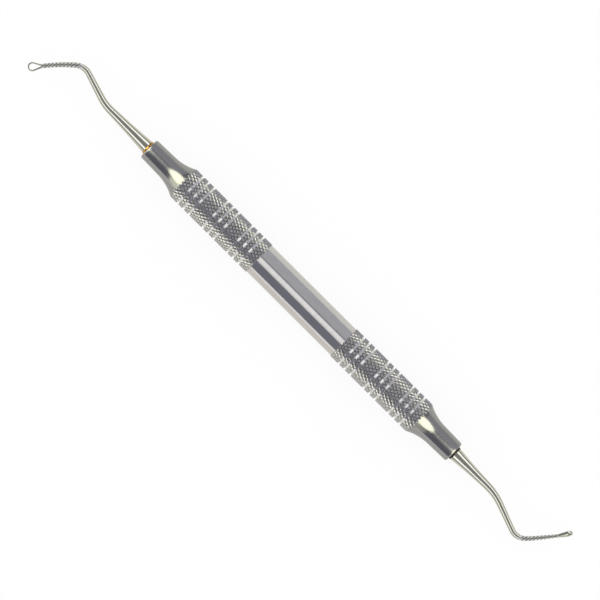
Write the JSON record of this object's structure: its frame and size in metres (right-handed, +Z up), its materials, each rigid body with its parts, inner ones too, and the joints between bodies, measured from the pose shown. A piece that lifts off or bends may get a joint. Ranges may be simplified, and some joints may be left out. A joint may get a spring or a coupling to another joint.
{
  "type": "gingival cord packer",
  "caption": "Hand instrument with a hollow, knurled and ring-grooved handle, cone ends, and bent tapering shanks that end in a serrated neck and a small open teardrop loop.",
  "frame": {"origin": "on the surface that the grips lie on, under the middle of the instrument's box", "axes": "+X along the handle towards the end whose loop is turned on its side, +Z up, and the working ends bend in the level plane through the handle's axis"},
  "size_m": [0.1802, 0.0142, 0.0095],
  "materials": {
    "satin_stainless": "turned and knurled stainless steel, satin on the cones and polished on the smooth middle",
    "polished_stainless": "polished stainless steel",
    "gold_braze": "bare gold-coloured braze",
    "dark_braze": "darkened braze"
  },
  "bodies": {
    "root": {"handle": "satin_stainless", "left_working_end": "polished_stainless", "right_working_end": "polished_stainless", "left_braze_ring": "gold_braze", "right_braze_ring": "dark_braze"}
  },
  "joints": []
}
